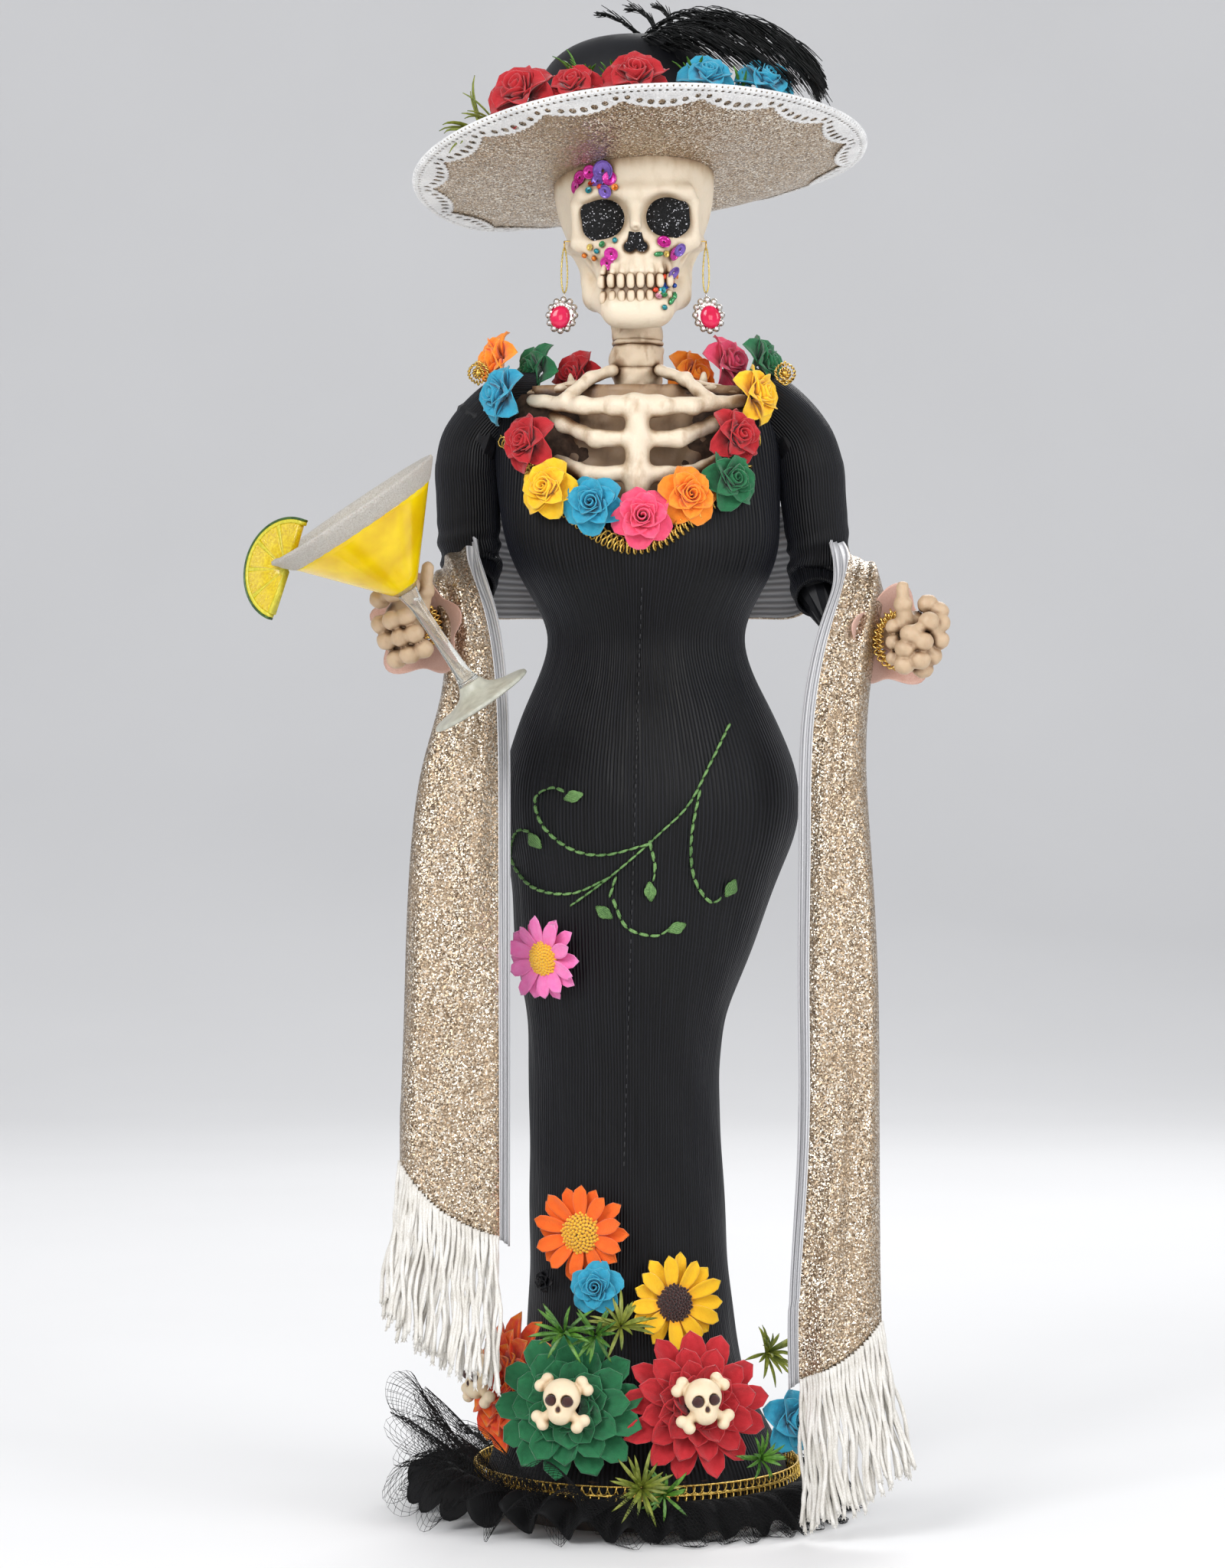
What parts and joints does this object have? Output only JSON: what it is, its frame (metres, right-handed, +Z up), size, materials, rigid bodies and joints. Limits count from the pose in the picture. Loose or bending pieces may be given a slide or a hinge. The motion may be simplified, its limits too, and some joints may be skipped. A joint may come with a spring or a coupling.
{
  "type": "papier-mache catrina figure",
  "caption": "Standing papier-mache lady skeleton in a ribbed black dress and wide flowered hat, with a draped stole, a cocktail glass, hem flowers and swinging earrings.",
  "frame": {"origin": "centre of the base disc's underside", "axes": "+Z up along the figure, +Y towards its back, +X towards its own left hand"},
  "size_m": [0.2515, 0.1979, 0.5514],
  "materials": {
    "base_wood": "stained disc",
    "dowel_wood": "plain",
    "papier_mache": "layered paper, matt",
    "ribbed_cloth": "fine vertical ribs, satin",
    "bone_tan": "painted with a brown wash",
    "bone_cream": "painted with a brown wash",
    "chiffon": "sheer",
    "gold_wire": "bright",
    "gold_thread": "twisted",
    "gold_braid": "metallic braid",
    "black_glitter": "glitter",
    "sequin": "foil",
    "bead": "glass seed beads",
    "rhinestone": "faceted",
    "pink_stone": "faceted",
    "champagne_glitter": "glitter cloth",
    "black_satin": "satin",
    "white_lace": "crochet",
    "white_satin": "pleated satin",
    "ivory_yarn": "twisted rayon",
    "black_net": "tulle",
    "black_feather": "feather",
    "green_stitch": "raffia stitch",
    "green_spray": "moulded leaves",
    "red_petal": "mulberry paper",
    "blue_petal": "mulberry paper",
    "yellow_petal": "mulberry paper",
    "orange_petal": "mulberry paper",
    "green_petal": "mulberry paper",
    "pink_petal": "mulberry paper",
    "flame_petal": "cloth petals",
    "clear_resin": "clear, milky foot",
    "yellow_resin": "clear yellow",
    "salt": "frosted",
    "lime": "painted"
  },
  "bodies": {
    "figure": {"base_disc": "base_wood", "body_post": "dowel_wood", "body_core": "papier_mache", "dress": "ribbed_cloth", "sleeve_right": "ribbed_cloth", "sleeve_left": "ribbed_cloth", "arm_right": "papier_mache", "arm_left": "papier_mache", "hand_right": "bone_tan", "hand_left": "bone_tan", "cuffs": "chiffon", "bracelets": "gold_wire", "ribcage": "bone_cream", "neck": "bone_cream", "skull": "bone_cream", "glitter_patches": "black_glitter", "face_sequins": "sequin", "face_beads": "bead", "earring_hooks": "gold_wire", "hat_brim": "champagne_glitter", "hat_crown": "black_satin", "hat_lace": "white_lace", "hat_roses": "red_petal", "hat_greens": "green_spray", "hat_feathers": "black_feather", "neck_braid": "gold_braid", "roses_red": "red_petal", "roses_blue": "blue_petal", "roses_yellow": "yellow_petal", "roses_orange": "orange_petal", "roses_green": "green_petal", "roses_pink": "pink_petal", "vine": "green_stitch", "daisy_pink": "pink_petal", "daisy_orange": "orange_petal", "sunflower": "yellow_petal", "mum_green": "green_petal", "mum_red": "red_petal", "fire_flower": "flame_petal", "hem_roses": "blue_petal", "skull_charms": "bone_cream", "hem_greens": "green_spray", "hem_braid": "gold_braid", "tulle_flounce": "black_net", "stole_right": "champagne_glitter", "stole_left": "champagne_glitter", "stole_back": "white_satin", "fringe_right": "ivory_yarn", "fringe_left": "ivory_yarn", "glass": "clear_resin", "drink": "yellow_resin", "salt_rim": "salt", "lime_slice": "lime"},
    "loop_right": {"earring_loop_right": "gold_thread"},
    "loop_left": {"earring_loop_left": "gold_thread"},
    "drop_right": {"earring_setting_right": "rhinestone", "earring_stone_right": "pink_stone"},
    "drop_left": {"earring_setting_left": "rhinestone", "earring_stone_left": "pink_stone"}
  },
  "joints": [
    {"name": "earring_right_swing", "type": "hinge", "parent": "figure", "child": "loop_right", "pos_m": [-0.0266, -0.008, 0.4618], "axis": [0, 1, 0], "range_deg": [-4, 35]},
    {"name": "earring_right_drop", "type": "hinge", "parent": "loop_right", "child": "drop_right", "pos_m": [-0.0266, -0.008, 0.4448], "axis": [1, 0, 0], "range_deg": [-35, 35]},
    {"name": "earring_left_swing", "type": "hinge", "parent": "figure", "child": "loop_left", "pos_m": [0.0252, -0.008, 0.4618], "axis": [0, -1, 0], "range_deg": [-4, 35]},
    {"name": "earring_left_drop", "type": "hinge", "parent": "loop_left", "child": "drop_left", "pos_m": [0.0252, -0.008, 0.4448], "axis": [1, 0, 0], "range_deg": [-35, 35]}
  ]
}
